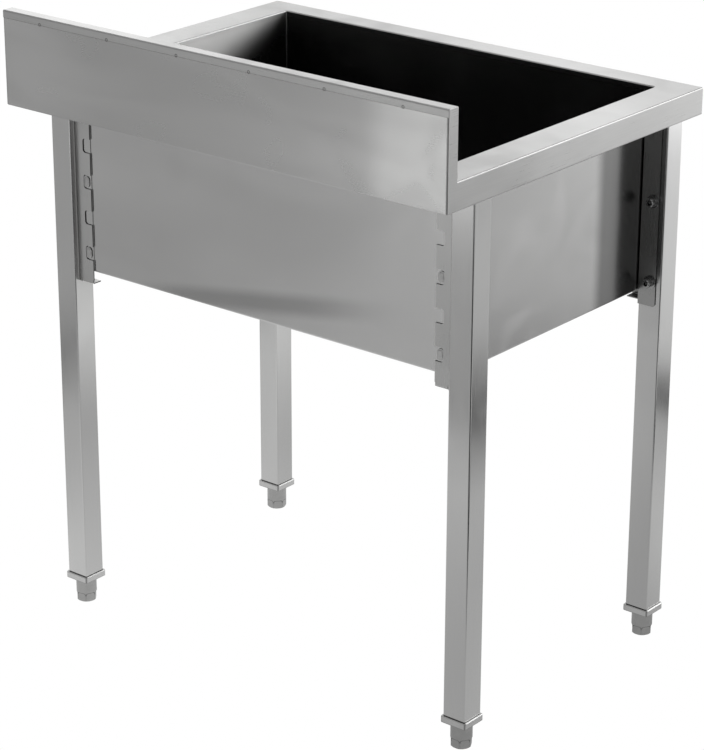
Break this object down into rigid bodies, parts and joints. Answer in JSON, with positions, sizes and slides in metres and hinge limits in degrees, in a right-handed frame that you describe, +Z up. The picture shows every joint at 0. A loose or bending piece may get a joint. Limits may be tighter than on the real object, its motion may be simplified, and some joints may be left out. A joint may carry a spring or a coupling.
{
  "type": "utility sink",
  "caption": "Free-standing stainless utility sink with deep square basin, splashback, square tube legs on bolted brackets, and screw-adjusted feet.",
  "frame": {"origin": "on the floor, under the middle of the worktop's 800 x 600 mm outline", "axes": "+Z up, +Y towards the splashback and the wall, +X to the user's right; the user stands on the -Y side"},
  "size_m": [0.8, 0.6, 0.956],
  "materials": {
    "worktop_steel": "fine satin brushed, ground and polished folds",
    "basin_steel": "fine horizontal satin brushing",
    "cover_steel": "mill finish, softly mottled",
    "leg_steel": "satin square tube, brushed along its length",
    "bracket_steel": "mill finish sheet",
    "plug_steel": "satin",
    "foot_steel": "turned, satin",
    "stud_steel": "bright thread",
    "fastener_steel": "dull bright fasteners"
  },
  "bodies": {
    "frame": {"worktop": "worktop_steel", "basin": "basin_steel", "back_cover": "cover_steel", "leg_rear_left": "leg_steel", "leg_rear_right": "leg_steel", "leg_front_left": "leg_steel", "leg_front_right": "leg_steel", "bracket_rear_left": "bracket_steel", "bracket_rear_right": "bracket_steel", "bracket_front_left": "bracket_steel", "bracket_front_right": "bracket_steel", "plug_rear_left": "plug_steel", "plug_rear_right": "plug_steel", "plug_front_left": "plug_steel", "plug_front_right": "plug_steel", "flat_washers": "fastener_steel", "spring_washers": "fastener_steel", "socket_screws": "fastener_steel", "weld_nuts": "fastener_steel"},
    "rear_left_stud": {"stud_rear_left": "stud_steel"},
    "rear_left_foot": {"foot_rear_left": "foot_steel"},
    "rear_right_stud": {"stud_rear_right": "stud_steel"},
    "rear_right_foot": {"foot_rear_right": "foot_steel"},
    "front_left_stud": {"stud_front_left": "stud_steel"},
    "front_left_foot": {"foot_front_left": "foot_steel"},
    "front_right_stud": {"stud_front_right": "stud_steel"},
    "front_right_foot": {"foot_front_right": "foot_steel"}
  },
  "joints": [
    {"name": "rear_left_travel", "type": "slide", "parent": "frame", "child": "rear_left_stud", "axis": [0, 0, -1], "range_m": [0, 0.025]},
    {"name": "rear_left_turn", "type": "hinge", "parent": "rear_left_stud", "child": "rear_left_foot", "pos_m": [-0.368, 0.206, 0.02], "axis": [0, 0, -1], "range_deg": [0, 5142]},
    {"name": "rear_right_travel", "type": "slide", "parent": "frame", "child": "rear_right_stud", "axis": [0, 0, -1], "range_m": [0, 0.025]},
    {"name": "rear_right_turn", "type": "hinge", "parent": "rear_right_stud", "child": "rear_right_foot", "pos_m": [0.368, 0.206, 0.02], "axis": [0, 0, -1], "range_deg": [0, 5142]},
    {"name": "front_left_travel", "type": "slide", "parent": "frame", "child": "front_left_stud", "axis": [0, 0, -1], "range_m": [0, 0.025]},
    {"name": "front_left_turn", "type": "hinge", "parent": "front_left_stud", "child": "front_left_foot", "pos_m": [-0.368, -0.251, 0.02], "axis": [0, 0, -1], "range_deg": [0, 5142]},
    {"name": "front_right_travel", "type": "slide", "parent": "frame", "child": "front_right_stud", "axis": [0, 0, -1], "range_m": [0, 0.025]},
    {"name": "front_right_turn", "type": "hinge", "parent": "front_right_stud", "child": "front_right_foot", "pos_m": [0.368, -0.251, 0.02], "axis": [0, 0, -1], "range_deg": [0, 5142]}
  ],
  "couplings": [
    {"joint": "rear_left_travel", "follows": "rear_left_turn", "m_per_rad": 0.00027852},
    {"joint": "rear_right_travel", "follows": "rear_right_turn", "m_per_rad": 0.00027852},
    {"joint": "front_left_travel", "follows": "front_left_turn", "m_per_rad": 0.00027852},
    {"joint": "front_right_travel", "follows": "front_right_turn", "m_per_rad": 0.00027852}
  ]
}
